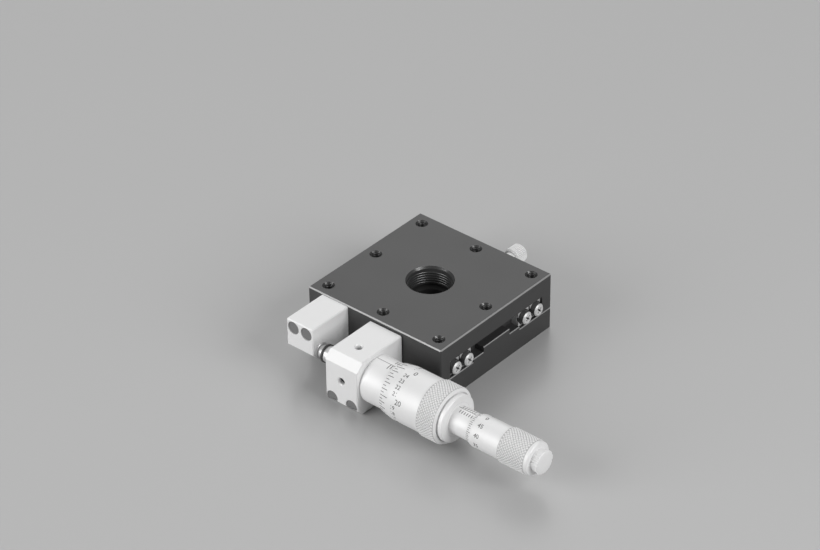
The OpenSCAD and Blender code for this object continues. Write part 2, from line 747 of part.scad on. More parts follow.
module anvil() color([0.8, 0.8, 0.81]) on_axis() turned([
    [0, anvil_block_hi - anvil_shank_l], [anvil_shank_d / 2, anvil_block_hi - anvil_shank_l],
    [anvil_shank_d / 2, anvil_block_hi], [anvil_d / 2, anvil_block_hi],
    [anvil_d / 2, contact_x - anvil_edge_c], [anvil_d / 2 - anvil_edge_c, contact_x], [0, contact_x]]);

// A set screw's hole along +Z, from the origin to a face at this distance
module set_screw_hole(far) {
    cylinder(h = far + over, d = set_screw_d + 2 * seat);
    translate([0, 0, far - set_mouth_c])
        cylinder(h = set_mouth_c + over, d1 = set_screw_d, d2 = set_screw_d + 2 * set_mouth_c + 2 * over);
}

module micrometer_bracket() color([0.88, 0.88, 0.88]) {
    lo = [bracket_lo, side_y - bracket_w, bracket_lift];
    hi = [bracket_hi, side_y, bracket_top];
    difference() {
        block(lo, hi);
        block([lo[0] - over, side_y - pass_gap, base_t - split_gap],
            [hi[0] + over, side_y + over, hi[2] + over]);
        block_edges(lo, hi);
        translate([bracket_x, 0, 0]) {
            cut_x(lo[1], hi[2], bracket_c, bracket_l + 2 * over);
            cut_x(lo[1], lo[2], bracket_foot_c, bracket_l + 2 * over);
        }
        block_holes(bracket_x, bracket_screw_z, bracket_screw_pitch, lo[1], bracket_screw_cbore);
        on_axis() rod_x(lo[0] - over, hi[0] + over, stem_d + 2 * seat);
        translate([bracket_x, axis_y, axis_z]) {
            set_screw_hole(hi[2] - axis_z);
            rotate([90, 0, 0]) set_screw_hole(axis_y - lo[1]);
        }
    }
}

module bracket_screws() color([0.2, 0.2, 0.21])
    block_screws(bracket_x, bracket_screw_z, bracket_screw_pitch, side_y - bracket_w, bracket_screw_cbore);

module bracket_plugs() color([0.4, 0.4, 0.41]) difference() {
    block_plugs(bracket_x, bracket_screw_z, bracket_screw_pitch, side_y - bracket_w);
    translate([bracket_x, 0, 0])
        cut_x(side_y - bracket_w, bracket_lift, bracket_foot_c + plug_recess, bracket_l + 2 * over);
}

module bracket_set_screws() color([0.25, 0.25, 0.26]) translate([bracket_x, axis_y, axis_z]) {
    translate([0, 0, stem_d / 2 + seat + set_screw_l])
        grub_screw(set_screw_d, set_screw_l, set_screw_hex, set_screw_hex_deep);
    rotate([90, 0, 0]) translate([0, 0, stem_d / 2 + seat + set_screw_l])
        grub_screw(set_screw_d, set_screw_l, set_screw_hex, set_screw_hex_deep);
}

module barrel() color([0.9, 0.9, 0.9]) on_axis() difference() {
    turned([
        [spindle_d / 2 + run, bracket_lo + seat], [stem_d / 2, bracket_lo + seat], [stem_d / 2, bracket_hi],
        [sleeve_groove_d / 2, bracket_hi], [sleeve_groove_d / 2, sleeve_x], [sleeve_d / 2, sleeve_x],
        [sleeve_d / 2, sleeve_end], [barrel_cavity_d / 2, sleeve_end], [barrel_cavity_d / 2, cavity_x],
        [spindle_d / 2 + run, cavity_x]]);
    translate([bracket_x, 0, -stem_d / 2 - over])
        cylinder(h = stem_d / 2 + over - spindle_d / 2 + key_bite, d = key_d + 2 * seat);
}

module barrel_nut() color([0.75, 0.62, 0.3]) on_axis() turned([
    [coarse_screw_d / 2 + run, sleeve_end - nut_l], [barrel_cavity_d / 2 - seat, sleeve_end - nut_l],
    [barrel_cavity_d / 2 - seat, sleeve_end], [coarse_screw_d / 2 + run, sleeve_end]]);

module spindle() color([0.82, 0.82, 0.83]) on_axis() difference() {
    turned([
        [0, contact_x + seat], [tip_d / 2 - spindle_edge_c, contact_x + seat],
        [tip_d / 2, contact_x + seat + spindle_edge_c], [tip_d / 2, tip_end + tip_ring_t],
        [spindle_d / 2, tip_end + tip_ring_t], [spindle_d / 2, tail_x], [spindle_tail_d / 2, tail_x],
        [spindle_tail_d / 2, tail_end], [fine_tip_d / 2 + run, tail_end],
        [fine_tip_d / 2 + run, fine_tip_x - fine_stroke - end_margin],
        [0, fine_tip_x - fine_stroke - end_margin]]);
    block([bracket_x - stroke - key_d / 2 - key_gap, -key_d / 2 - run, -spindle_d],
        [bracket_x + stroke + key_d / 2 + key_gap, key_d / 2 + run, -spindle_d / 2 + key_bite + run]);
}

module spindle_ring() color([0.1, 0.1, 0.1]) on_axis() turned([
    [tip_d / 2 + seat, tip_end], [tip_ring_d / 2 - spindle_edge_c, tip_end],
    [tip_ring_d / 2, tip_end + spindle_edge_c], [tip_ring_d / 2, tip_end + tip_ring_t - seat],
    [tip_d / 2 + seat, tip_end + tip_ring_t - seat]]);

module spindle_key() color([0.8, 0.8, 0.81]) on_axis() translate([bracket_x, 0, -stem_d / 2])
    cylinder(h = stem_d / 2 - spindle_d / 2 + key_bite, d = key_d);

module coarse_thimble() color([0.9, 0.9, 0.9]) on_axis() turned([
    [sleeve_d / 2 + run, thimble_x], [thimble_edge_d / 2, thimble_x], [thimble_d / 2, bevel_x],
    [thimble_d / 2, knurl_x], [thimble_knurl_d / 2, knurl_x + knurl_c], [thimble_knurl_d / 2, knurl_end],
    [thimble_knurl_d / 2 - rim_c, thimble_end], [coarse_screw_d / 2 + seat, thimble_end],
    [coarse_screw_d / 2 + seat, wall_x], [sleeve_d / 2 + run, wall_x]]);

module coarse_screw() color([0.7, 0.7, 0.72]) on_axis() turned([
    [coarse_bore_d / 2, coarse_screw_x], [coarse_screw_d / 2, coarse_screw_x],
    [coarse_screw_d / 2, thimble_end], [fine_sleeve_d / 2 + seat, thimble_end],
    [fine_sleeve_d / 2 + seat, wall_x], [coarse_bore_d / 2, wall_x]]);

module thimble_collar() color([0.9, 0.9, 0.9]) on_axis() turned([
    [fine_sleeve_d / 2 + seat, thimble_end], [collar_neck_d / 2, thimble_end], [collar_neck_d / 2, collar_x],
    [collar_d / 2 - collar_c, collar_x], [collar_d / 2, collar_x + collar_c],
    [collar_d / 2, collar_end - collar_c], [collar_d / 2 - collar_c, collar_end],
    [fine_sleeve_d / 2 + seat, collar_end]]);

module fine_sleeve() color([0.9, 0.9, 0.9]) on_axis() turned([
    [fine_tip_d / 2 + fine_tip_clear, wall_x], [fine_sleeve_d / 2, wall_x],
    [fine_sleeve_d / 2, fine_sleeve_end], [fine_screw_d / 2 + run, fine_sleeve_end],
    [fine_screw_d / 2 + run, fine_nut_x - fine_stroke],
    [fine_tip_d / 2 + fine_tip_clear, fine_nut_x - fine_stroke]]);

module fine_thimble() color([0.9, 0.9, 0.9]) on_axis() turned([
    [fine_sleeve_d / 2 + run, fine_x], [fine_edge_d / 2, fine_x], [fine_thimble_d / 2, fine_bevel_x],
    [fine_thimble_d / 2, fine_knurl_x], [fine_knurl_d / 2, fine_knurl_x + fine_knurl_c],
    [fine_knurl_d / 2, fine_knurl_end - fine_knurl_c], [fine_ring_d / 2, fine_knurl_end],
    [fine_ring_d / 2, fine_end - fine_ring_c], [fine_ring_d / 2 - fine_ring_c, fine_end],
    [button_shank_d / 2 + seat, fine_end], [button_shank_d / 2 + seat, fine_wall_x + fine_seat_l],
    [fine_screw_d / 2 + seat, fine_wall_x + fine_seat_l], [fine_screw_d / 2 + seat, fine_wall_x],
    [fine_sleeve_d / 2 + run, fine_wall_x]]);

module fine_screw() color([0.7, 0.7, 0.72]) on_axis() turned([
    [0, fine_tip_x], [fine_tip_d / 2, fine_tip_x], [fine_tip_d / 2, fine_nut_x],
    [fine_screw_d / 2, fine_nut_x], [fine_screw_d / 2, fine_wall_x + fine_seat_l],
    [0, fine_wall_x + fine_seat_l]]);

backlash_path = coil_path(fine_sleeve_end + backlash_wire_d, fine_wall_x - washer_t - backlash_wire_d,
    backlash_turns, (backlash_d - backlash_wire_d) / 2);
echo(backlash_spring_least_gap = least_gap(backlash_path, backlash_wire_d));

module backlash_spring() color([0.7, 0.7, 0.72]) on_axis() wire(backlash_path, backlash_wire_d);

module backlash_washer() color([0.75, 0.62, 0.3]) on_axis() turned([
    [fine_screw_d / 2 + run, fine_wall_x - washer_t - seat], [washer_d / 2, fine_wall_x - washer_t - seat],
    [washer_d / 2, fine_wall_x - seat], [fine_screw_d / 2 + run, fine_wall_x - seat]]);

module end_button() color([0.9, 0.9, 0.9]) on_axis() turned([
    [0, fine_end - button_shank_l], [button_shank_d / 2, fine_end - button_shank_l],
    [button_shank_d / 2, fine_end], [button_neck_d / 2, fine_end],
    [button_neck_d / 2, fine_end + button_l - button_lip],
    [button_d / 2, fine_end + button_l - button_lip + button_lip_c],
    [button_d / 2, fine_end + button_l - button_lip_c], [button_d / 2 - button_lip_c, fine_end + button_l],
    [0, fine_end + button_l]]);

module lock_plate() color([0.14, 0.14, 0.15]) translate([clamp_x, 0, 0]) difference() {
    block([-lock_l / 2, lock_y, lock_low], [lock_l / 2, lock_y + lock_t, lock_top]);
    block([-lock_l / 2 - over, lock_y - over, base_t - split_gap],
        [lock_l / 2 + over, lock_y + pass_gap, lock_top + over]);
    for (s = [-1, 1]) {
        cut_y(s * lock_l / 2, lock_top, edge_c, past);
        cut_z(s * lock_l / 2, lock_y + lock_t, edge_c, past);
        translate([s * (lock_l / 2 - lock_screw_inset), 0, lock_screw_z]) {
            rod_y(lock_y - over, lock_y + lock_t + over, lock_screw_d + 2 * seat);
            rod_y(lock_y + lock_t - lock_cbore_deep, lock_y + lock_t + over, lock_cbore_d);
        }
    }
    cut_x(lock_y + lock_t, lock_top, edge_c, lock_l + 2 * over);
    translate([0, 0, clamp_z]) {
        rod_y(lock_y - over, lock_y + lock_t + over, clamp_screw_d + 2 * run);
        rod_y(lock_y - over, lock_y + pad_gap + pad_t + pad_back, pad_d + 2 * run);
    }
}

module lock_plate_screws() color([0.2, 0.2, 0.21]) for (s = [-1, 1])
    translate([clamp_x + s * (lock_l / 2 - lock_screw_inset), lock_y + lock_t - lock_cbore_deep + lock_head_h,
        lock_screw_z]) rotate([-90, 0, 0])
        cap_screw(lock_screw_d, lock_t - lock_cbore_deep + lock_bite, lock_head_d, lock_head_h, block_hex,
            block_hex_deep);

module clamp_pad() color([0.75, 0.62, 0.3]) translate([clamp_x, 0, clamp_z])
    rod_y(lock_y + pad_gap, lock_y + pad_gap + pad_t, pad_d);

module clamp_screw() color([0.75, 0.75, 0.76]) translate([clamp_x, 0, clamp_z])
    rod_y(lock_y + pad_gap + pad_t + seat, knob_y + knob_seat, clamp_screw_d);

// Outline of the knob's straight knurl
function knurl_outline(d, teeth) = [for (k = [0 : 2 * teeth - 1])
    (d / 2 - (k % 2) * tooth_deep) * [cos(180 * k / teeth), sin(180 * k / teeth)]];

module clamp_knob() color([0.85, 0.85, 0.85]) translate([clamp_x, 0, clamp_z]) difference() {
    union() {
        rod_y(knob_y - knob_neck_l, knob_y + knob_c, knob_neck_d);
        rod_y(knob_y, knob_y + knob_l, knob_d - 2 * knob_c);
        translate([0, knob_y + knob_c, 0]) rotate([-90, 0, 0])
            linear_extrude(knob_l - 2 * knob_c) polygon(knurl_outline(knob_d, knob_teeth));
    }
    rod_y(knob_y - knob_neck_l - over, knob_y + knob_seat + seat, clamp_screw_d + 2 * seat);
}

base_plate();
inner_rail_front();
inner_rail_back();
inner_rail_screws();
inner_rail_end_screws();
base_spring_post();
return_spring();
table_plate();
outer_rail_front();
outer_rail_back();
outer_rail_screws();
outer_rail_end_screws();
preload_screws();
table_spring_post();
stop_pin();
cage_front();
cage_back();
rollers_front();
rollers_back();
anvil_block();
anvil_block_screws();
anvil_block_plugs();
anvil();
micrometer_bracket();
bracket_screws();
bracket_plugs();
bracket_set_screws();
barrel();
barrel_nut();
spindle();
spindle_ring();
spindle_key();
coarse_thimble();
coarse_screw();
thimble_collar();
fine_sleeve();
fine_thimble();
fine_screw();
backlash_spring();
backlash_washer();
end_button();
lock_plate();
lock_plate_screws();
clamp_pad();
clamp_screw();
clamp_knob();
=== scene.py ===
# %% [markdown]
# # A linear stage with a differential micrometer
# The solids of the stage come from its CAD model, already in place and in metres. This lesson lights them, gives
# each metal its finish, and models what a drawing leaves to the workshop: knurls, engraved scales, a thread, springs.

# %% Load the frame
import math

import bmesh
import bpy
from mathutils import Matrix, Vector


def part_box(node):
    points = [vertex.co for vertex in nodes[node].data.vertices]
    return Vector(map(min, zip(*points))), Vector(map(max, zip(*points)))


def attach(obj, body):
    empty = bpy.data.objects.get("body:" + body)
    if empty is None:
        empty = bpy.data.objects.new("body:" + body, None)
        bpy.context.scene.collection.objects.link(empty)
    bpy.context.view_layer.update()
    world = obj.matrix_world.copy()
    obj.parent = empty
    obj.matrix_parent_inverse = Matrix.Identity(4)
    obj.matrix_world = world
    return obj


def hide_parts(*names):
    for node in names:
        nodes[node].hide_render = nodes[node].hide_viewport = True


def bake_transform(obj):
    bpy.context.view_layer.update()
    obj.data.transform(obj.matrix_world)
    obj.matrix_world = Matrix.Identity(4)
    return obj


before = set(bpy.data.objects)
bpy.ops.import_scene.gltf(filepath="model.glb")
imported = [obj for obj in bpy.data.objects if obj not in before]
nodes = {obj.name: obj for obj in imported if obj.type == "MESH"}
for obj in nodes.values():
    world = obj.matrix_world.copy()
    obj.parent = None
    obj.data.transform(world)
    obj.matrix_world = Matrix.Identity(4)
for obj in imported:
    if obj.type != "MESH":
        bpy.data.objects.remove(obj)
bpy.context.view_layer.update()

MM = 0.001

# %% [markdown]
# The camera comes first, because the lamps and the floor are judged through it. The photograph was taken from far
# off with a long lens, so its lines hardly converge. The place is given as a turn about the object, a height above
# the horizon and a distance from a point on the table, which is how a photographer would set a tripod.

# %% Camera
PHOTO_W = 820
SENSOR = 36
TURN, RISE, ROLL = math.radians(40.856), math.radians(34.732), math.radians(-0.654)
AIM = Vector((-7.307, -2.211, 23)) * MM
REACH = 1138.1 * MM
FOCUS_PX = 3266.5

back = Vector((math.sin(TURN) * math.cos(RISE), -math.cos(TURN) * math.cos(RISE), math.sin(RISE)))
level = back.cross(Vector((0, 0, 1))).normalized() * -1
upright = back.cross(level)
right = math.cos(ROLL) * level + math.sin(ROLL) * upright
up = -math.sin(ROLL) * level + math.cos(ROLL) * upright
stand = Matrix((right, up, back)).transposed()

bpy.ops.object.select_all(action="DESELECT")
bpy.ops.object.camera_add(location=AIM + back * REACH, rotation=stand.to_euler())
camera = bpy.context.object
camera.name = "camera"
camera.data.sensor_width = SENSOR
camera.data.lens = FOCUS_PX / PHOTO_W * SENSOR
camera.data.clip_start, camera.data.clip_end = 0.05, 20
bpy.context.scene.camera = camera
bpy.context.scene.view_settings.view_transform = "Standard"
print("lens", round(camera.data.lens, 1), "mm, stands at", [round(v, 3) for v in camera.location])

# %% [markdown]
# A finish is a small network of nodes. Writing it link by link hides the idea, so a Signal wraps a socket and lets
# ordinary sums stand for Math nodes: `1 - mask` adds a Subtract node. A Finish holds one material. Its method node
# adds any other node from its type, its settings and the values of its sockets, and the rest are built on that one.

# %% Signals and finishes
class Signal:
    def __init__(self, finish, socket):
        self.finish, self.socket = finish, socket

    def sum(self, operation, *terms, clamp=False):
        return self.finish.node("Math", {"operation": operation, "use_clamp": clamp}, dict(enumerate(terms)))

    def __add__(self, other): return self.sum("ADD", self, other)
    def __sub__(self, other): return self.sum("SUBTRACT", self, other)
    def __mul__(self, other): return self.sum("MULTIPLY", self, other)
    def __gt__(self, other): return self.sum("GREATER_THAN", self, other)
    def __lt__(self, other): return self.sum("LESS_THAN", self, other)
    def __rsub__(self, other): return self.sum("SUBTRACT", other, self)
    def __abs__(self): return self.sum("ABSOLUTE", self)
    def clamped(self): return self.sum("ADD", self, 0, clamp=True)
    __radd__, __rmul__ = __add__, __mul__


class Finish:
    def __init__(self, name):
        self.material = bpy.data.materials.new(name)
        self.material.use_nodes = True
        self.tree = self.material.node_tree
        self.shader = self.tree.nodes["Principled BSDF"]

    def feed(self, socket, value):
        if isinstance(value, Signal):
            self.tree.links.new(value.socket, socket)
        else:
            socket.default_value = value

    def node(self, kind, settings={}, sockets={}, out=0):
        made = self.tree.nodes.new("ShaderNode" + kind)
        for name, value in settings.items():
            setattr(made, name, value)
        for name, value in sockets.items():
            self.feed(made.inputs[name], value)
        return Signal(self, made.outputs[out])

    def set(self, **values):
        for name, value in values.items():
            self.feed(self.shader.inputs[name.replace("_", " ")], value)

    def place(self, *stretch):
        spot = self.node("TexCoord", out="Object")
        return self.node("Mapping", {}, {"Vector": spot, "Scale": stretch})

    def noise(self, place, scale, detail=2.0, rough=0.5):
        return self.node("TexNoise", {}, {"Vector": place, "Scale": scale, "Detail": detail, "Roughness": rough})

    def blend(self, mask, low, high):
        return self.node("Mix", {"data_type": "RGBA"}, {0: mask, 6: low, 7: high}, out=2)

    def relief(self, height, depth_mm, strength=1.0):
        return self.node("Bump", {}, {"Strength": strength, "Distance": depth_mm * MM, "Height": height})

    def from_line(self, point, along):
        """Distance in millimetres from a line through this point, along X (0) or Y (1)."""
        spot = self.node("TexCoord", out="Object")
        arm = self.node("VectorMath", {"operation": "SUBTRACT"}, {0: spot, 1: point})
        keep = [0 if axis == along else 1 / MM for axis in range(3)]
        flat = self.node("VectorMath", {"operation": "MULTIPLY"}, {0: arm, 1: keep})
        return self.node("VectorMath", {"operation": "LENGTH"}, {0: flat}, out="Value")

    def parts(self, kind):
        split = self.node("SeparateXYZ", {}, {0: self.node("TexCoord", out=kind)})
        return [Signal(self, part) for part in split.socket.node.outputs]


def grey(level, warm=0.0):
    return (level * (1 + warm), level, level * (1 - warm), 1)


print("helpers ready")

# %% [markdown]
# The stage's body is black anodised aluminium. Anodising keeps the fine tooth of the milled or blasted surface, so
# the black is a satin dark grey that goes lighter in patches where the dye took less. Its outer chamfers are cut
# sharp, and their thin bright lines are a painted highlight: the chamfers' colour is lifted to a light grey. A face
# at 45 degrees is found by its slope: it has a large product of two parts of its normal, and a flat face has none.
# Near the outline such a face is a chamfer. Farther in it is a countersink, which was turned, so it is smoother than
# the rest and shows two glints.

# %% Black anodised aluminium
OUTER = 29.4


def slope(finish):
    x, y, z = finish.parts("Normal")
    return ((abs(x * z) + abs(y * z) - 0.3) * 6).clamped()


def black_anodised():
    finish = Finish("black_anodised")
    sloped = slope(finish)
    x, y, _ = finish.parts("Object")
    rim = ((abs(x) > OUTER * MM) + (abs(y) > OUTER * MM)).clamped()
    # edge carries the painted highlight on the outer chamfers (light grey 0.46); sink marks the countersinks
    edge, sink = sloped * rim, sloped * (1 - rim)
    cloud = finish.noise(finish.place(1, 1, 1), 60, 3)
    tooth = finish.noise(finish.place(1, 1, 1), 5200, 2, 0.6)
    dye = finish.blend(cloud, grey(0.031), grey(0.04))
    grain = finish.blend((tooth - 0.35) * 0.5, dye, grey(0.06))
    cut = finish.blend(sink, grain, grey(0.13))
    finish.set(
        Base_Color=finish.blend(edge * 0.85, cut, grey(0.46)),
        Metallic=edge * 0.4 + sink * 0.85,
        Roughness=0.42 + cloud * 0.08 - edge * 0.1 - sink * 0.2,
        Normal=finish.relief(tooth, 0.012, 0.5),
        IOR=1.65,
    )
    return finish.material


finishes = {"black_anodised": black_anodised()}
print("black anodised, made of", len(finishes["black_anodised"].node_tree.nodes), "shader nodes")

# %% [markdown]
# The two blocks that carry the anvil and the micrometer are aluminium too, blasted with glass beads and then
# anodised clear. The beads leave a field of tiny dents, which a noise in the bump gives, and the metal looks nearly
# white in soft light.

# %% Blasted aluminium
def silver_satin():
    finish = Finish("silver_satin")
    edge = slope(finish)
    dents = finish.noise(finish.place(1, 1, 1), 3600, 3, 0.65)
    cloud = finish.noise(finish.place(1, 1, 1), 90, 2)
    body = finish.blend(cloud, grey(0.84), grey(0.89))
    speck = finish.blend((dents - 0.4) * 0.7, body, grey(0.93))
    finish.set(
        Base_Color=finish.blend(edge * 0.5, speck, grey(0.84)),
        Metallic=0.15,
        Roughness=0.48 + cloud * 0.06 - edge * 0.15,
        Normal=finish.relief(dents, 0.016, 0.55),
    )
    return finish.material


finishes["silver_satin"] = silver_satin()
print("blasted aluminium, made of", len(finishes["silver_satin"].node_tree.nodes), "shader nodes")

# %% [markdown]
# A micrometer's barrel and thimbles are turned steel with a satin chrome plate. The tool leaves rings round the
# axis, far finer than a tenth of a millimetre. Noise that is squeezed along the axis and stretched across it makes
# such rings, because every point with the same place along the axis then reads nearly the same value. In a knurl,
# the lowest part of each groove, towards its root, is painted darker as shade.

# %% Satin chrome and turned metals
barrel_low, barrel_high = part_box("barrel")
AXIS = Vector((0, barrel_low.y + barrel_high.y, barrel_low.z + barrel_high.z)) / 2
COARSE_ROOT, COARSE_CREST = 10.16, 10.5
FINE_ROOT, FINE_CREST = 6.17, 6.5
knob_low, knob_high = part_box("clamp_knob")
KNOB_AXIS = (knob_low + knob_high) / 2
KNOB_ROOT, KNOB_CREST = 3.2, 3.45
SKIN, FALL = 0.005, 3.4


def turned_metal(name, low, high, metallic, rough, ring_depth=0.006, warm=0.0, knurls=(), groove_shade=0.55,
        centre=AXIS, along=0):
    finish = Finish(name)
    rings = finish.noise(finish.place(*[1 if axis == along else 0.02 for axis in range(3)]), 2600, 3, 0.6)
    cloud = finish.noise(finish.place(1, 1, 1), 110, 2)
    tone = finish.blend(rings * 0.6 + cloud * 0.4, grey(low, warm), grey(high, warm))
    for root, crest in knurls:
        out = finish.from_line(centre, along)
        # Painted shade: the lowest part of each knurl groove is darkened towards grey 0.25
        groove = (out > root - SKIN) * (1 - (out - root) * (FALL / (crest - root))).clamped() * (out < crest)
        tone = finish.blend(groove * groove_shade, tone, grey(0.25))
    finish.set(
        Base_Color=tone,
        Metallic=metallic,
        Roughness=rough + rings * 0.08 + cloud * 0.04,
        Normal=finish.relief(rings, ring_depth, 0.6),
    )
    return finish.material


print("micrometer's axis in mm", [round(v / MM, 2) for v in AXIS], "knob's", [round(v / MM, 2) for v in KNOB_AXIS])

# %% [markdown]
# Screws are small, so their finish has to read at a glance: bright steel for the heads on the rails' ends, black
# oxide for the socket screws. Plugs are matte grey and the ring behind the spindle's tip is black. Each still has
# its own grain and a change of tone, because a flat colour looks like paint on a toy. The rails are ground along
# their length. The recess round each head and the head's flank are painted near-black as shade, and only the flat
# face of the head is bright.

# %% Small parts
def grained(name, low, high, metallic, rough, scale=2400, depth=0.01):
    finish = Finish(name)
    grain = finish.noise(finish.place(1, 1, 1), scale, 3, 0.6)
    cloud = finish.noise(finish.place(1, 1, 1), 300, 2)
    finish.set(
        Base_Color=finish.blend(cloud * 0.5 + grain * 0.5, grey(low), grey(high)),
        Metallic=metallic,
        Roughness=rough + grain * 0.1,
        Normal=finish.relief(grain, depth, 0.5),
    )
    return finish.material


RECESS_R, RECESS_FROM, HEAD_FACE = 2.75, 28.15, 0.45


def rail_steel(rail):
    finish = Finish("rail_steel")
    low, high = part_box(rail)
    grind = finish.noise(finish.place(0.05, 1, 1), 3200, 2, 0.6)
    steel = finish.blend(grind, grey(0.62), grey(0.76))
    x = finish.parts("Object")[0]
    # Painted shade: the recess round each end screw's head is painted near-black
    shade = (finish.from_line((low + high) / 2, 0) < RECESS_R) * (abs(x) > RECESS_FROM * MM)
    finish.set(
        Base_Color=finish.blend(shade * 0.95, steel, grey(0.02)),
        Metallic=0.4 - shade * 0.4,
        Roughness=0.34 + grind * 0.1,
        Normal=finish.relief(grind, 0.004, 0.5),
    )
    return finish.material


def head_steel(screws):
    finish = Finish("head_steel")
    grain = finish.noise(finish.place(1, 1, 1), 1500, 3, 0.6)
    # Painted shade: the head's flank behind its face is painted near-black
    flank = abs(finish.parts("Object")[0]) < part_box(screws)[1].x - HEAD_FACE * MM
    finish.set(
        Base_Color=finish.blend(flank * 0.9, finish.blend(grain, grey(0.66), grey(0.82)), grey(0.03)),
        Metallic=0.3 - flank * 0.3,
        Roughness=0.4 + grain * 0.1,
        Normal=finish.relief(grain, 0.02, 0.5),
    )
    return finish.material


print("recess radius", RECESS_R, "mm, flank ends", HEAD_FACE, "mm behind the face")

# %% [markdown]
# Each finish below is given by its darkest and its lightest grey, how metallic it is and how rough. A slot of a CAD
# node has the name of its material, so the slots are filled by name. The rails and their end screws are told apart by
# their place instead, so each of them gets a finish of its own.

# %% Finishes on the nodes
finishes.update({
    "micrometer_satin": turned_metal("micrometer_satin", 0.84, 0.9, 0.12, 0.44,
        knurls=((COARSE_ROOT, COARSE_CREST), (FINE_ROOT, FINE_CREST))),
    "bright_steel": turned_metal("bright_steel", 0.6, 0.74, 0.5, 0.3),
    "knob_satin": turned_metal("knob_satin", 0.9, 0.95, 0.1, 0.34, knurls=((KNOB_ROOT, KNOB_CREST),), groove_shade=0.6,
        centre=KNOB_AXIS, along=1),
    "black_steel": grained("black_steel", 0.02, 0.05, 0.4, 0.38),
    "grey_plug": grained("grey_plug", 0.17, 0.22, 0.1, 0.5),
    "black_ring": grained("black_ring", 0.035, 0.06, 0.0, 0.5),
    "brass": turned_metal("brass", 0.42, 0.56, 0.95, 0.28, warm=0.3),
    "spring_steel": turned_metal("spring_steel", 0.45, 0.6, 0.95, 0.3),
})
for name, node in nodes.items():
    for held in node.material_slots:
        if "rail_end_screws" in name:
            held.material = head_steel(name)
        elif name.startswith(("inner_rail_", "outer_rail_")) and "screws" not in name:
            held.material = rail_steel(name)
        else:
            held.material = finishes[held.material.name.split(".")[0]]
print("finishes", len(finishes), "on", len(nodes), "nodes")

# %% [markdown]
# A turned piece is drawn out ring by ring, as it would be on a lathe. It starts as one circle. Each further station
# of its outline is an extrude along the axis and a resize about it, and the last ring is bridged to the first, so
# the wall closes on itself round the bore. A piece with no bore starts and ends at a ring that shrinks to a point.

# %% Turning
ROUND, FINE_ROUND = 128, 96
POINT = 0.00004
SMOOTH = math.radians(28)


def clear_hands():
    if bpy.context.object and bpy.context.object.mode != "OBJECT":
        bpy.ops.object.mode_set(mode="OBJECT")
    bpy.ops.object.select_all(action="DESELECT")


def pick_edges(wanted):
    shape = bmesh.from_edit_mesh(bpy.context.object.data)
    for edge in shape.edges:
        edge.select_set(wanted(edge))
    bmesh.update_edit_mesh(bpy.context.object.data)


def settle(name, slot, body, finish=None):
    made = bpy.context.object
    made.name = made.data.name = name
    bpy.ops.object.transform_apply(location=True, rotation=True, scale=True)
    made.data.materials.clear()
    made.data.materials.append(finishes[finish or slot])
    if body:
        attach(made, body)
    clear_hands()
    return made


def turned(outline, sides=ROUND):
    clear_hands()
    radius, x = outline[0]
    bpy.ops.mesh.primitive_circle_add(vertices=sides, radius=radius * MM, location=(x * MM, AXIS.y, AXIS.z),
        rotation=(0, math.pi / 2, 0))
    bpy.ops.object.transform_apply(location=True, rotation=True, scale=True)
    bpy.ops.object.mode_set(mode="EDIT")
    bpy.ops.mesh.select_all(action="SELECT")
    for (r0, x0), (r1, x1) in zip(outline, outline[1:]):
        bpy.ops.mesh.extrude_region_move(TRANSFORM_OT_translate={"value": ((x1 - x0) * MM, 0, 0)})
        bpy.ops.transform.resize(value=(1, r1 / r0, r1 / r0), center_override=(x1 * MM, AXIS.y, AXIS.z))
    pick_edges(lambda edge: edge.is_boundary)
    if outline[0][0] == POINT:
        bpy.ops.mesh.edge_face_add()
    else:
        bpy.ops.mesh.bridge_edge_loops()
    bpy.ops.mesh.select_all(action="SELECT")
    bpy.ops.mesh.remove_doubles(threshold=1e-7)
    bpy.ops.mesh.normals_make_consistent(inside=False)
    bpy.ops.object.mode_set(mode="OBJECT")
    bpy.ops.object.shade_smooth_by_angle(angle=SMOOTH)
    return bpy.context.object


print("smooth below", round(math.degrees(SMOOTH)), "degrees")

# %% [markdown]
# A diamond knurl is rolled in by two wheels, and every groove runs at a slant. Here a band of square cells is poked,
# which puts a point in the middle of each cell. Dissolving the old square edges leaves diamonds, and poking those
# with an outward offset raises the little pyramids. The band gets a wall inwards, so it is closed.

# %% Knurling
KNURL_WALL = 0.25


